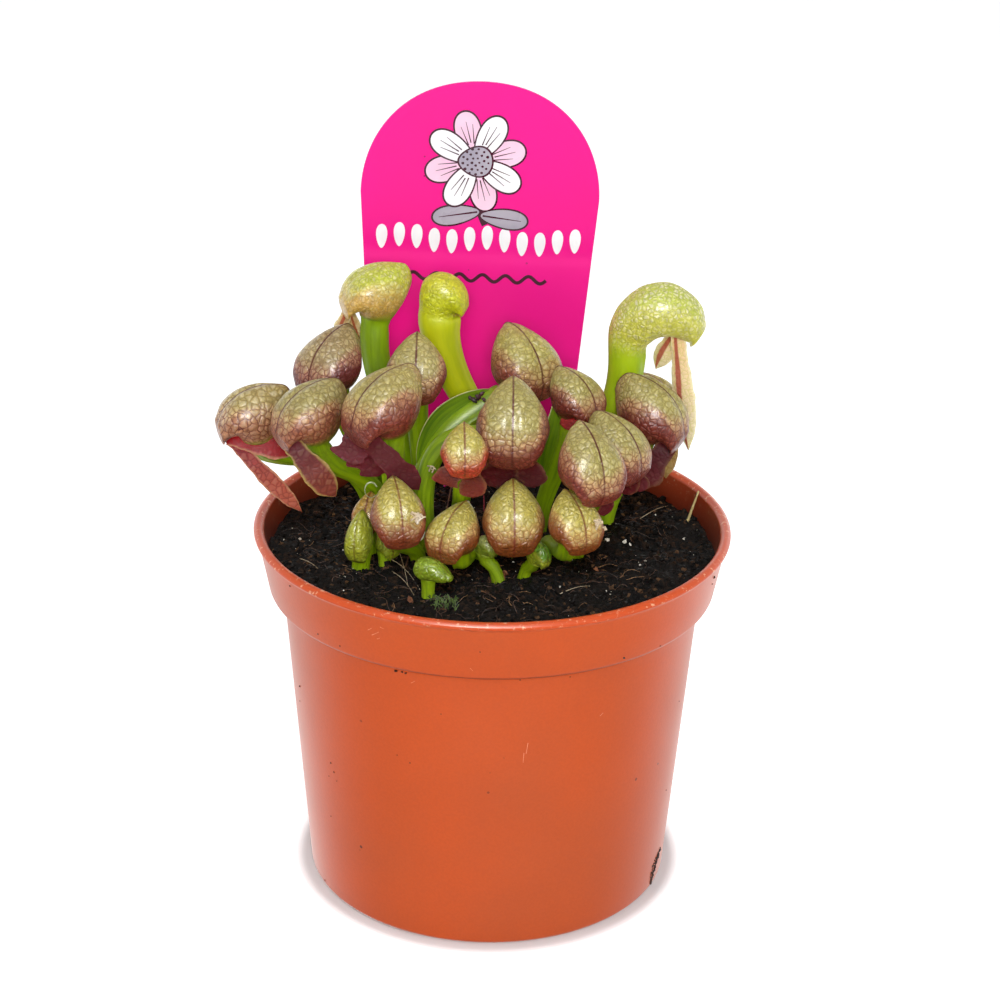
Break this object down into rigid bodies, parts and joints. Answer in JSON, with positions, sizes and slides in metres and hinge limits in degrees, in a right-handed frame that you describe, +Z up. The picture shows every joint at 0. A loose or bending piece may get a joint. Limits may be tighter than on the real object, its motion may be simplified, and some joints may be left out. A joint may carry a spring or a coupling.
{
  "type": "potted pitcher plant",
  "caption": "Pitcher plant with netted domed hoods and forked tails, growing in dark soil in a tapered round plastic pot, with a plain round-topped plant label behind it.",
  "frame": {"origin": "centre of the pot's underside, on the plane it stands on", "axes": "+Z up out of the pot; -Y towards the front of the plant, with the label behind it at +Y; +X to the right seen from the front"},
  "size_m": [0.1297, 0.12, 0.196],
  "materials": {
    "pot_plastic": "terracotta-orange moulded plastic, satin gloss, with dirt specks and fine scratches",
    "soil": "dark moist peat crumbs with fibres and pale specks",
    "rhizome": "matte pale brown",
    "label_plastic": "smooth bright pink print on thin sheet plastic",
    "netted_leaf": "glossy beige-green hood with a red-brown net of veins, crimson below, green tube",
    "green_leaf": "glossy yellow-green with pale windows"
  },
  "bodies": {
    "root": {"pot": "pot_plastic", "potting_soil": "soil", "rhizome": "rhizome", "plant_label": "label_plastic", "pitcher_tall_left": "green_leaf", "pitcher_tall_middle": "green_leaf", "pitcher_tall_right": "green_leaf", "pitcher_01": "netted_leaf", "pitcher_02": "netted_leaf", "pitcher_03": "netted_leaf", "pitcher_04": "netted_leaf", "pitcher_05": "netted_leaf", "pitcher_06": "netted_leaf", "pitcher_07": "netted_leaf", "pitcher_08": "netted_leaf", "pitcher_09": "netted_leaf", "pitcher_10": "netted_leaf", "pitcher_11": "netted_leaf", "pitcher_12": "netted_leaf", "pitcher_13": "netted_leaf", "pitcher_14": "netted_leaf", "pitcher_15": "netted_leaf", "pitcher_16": "netted_leaf", "pitcher_17": "netted_leaf", "pitcher_18": "netted_leaf", "pitcher_19": "netted_leaf", "young_01": "green_leaf", "young_02": "green_leaf", "young_03": "green_leaf", "young_04": "green_leaf"}
  },
  "joints": []
}
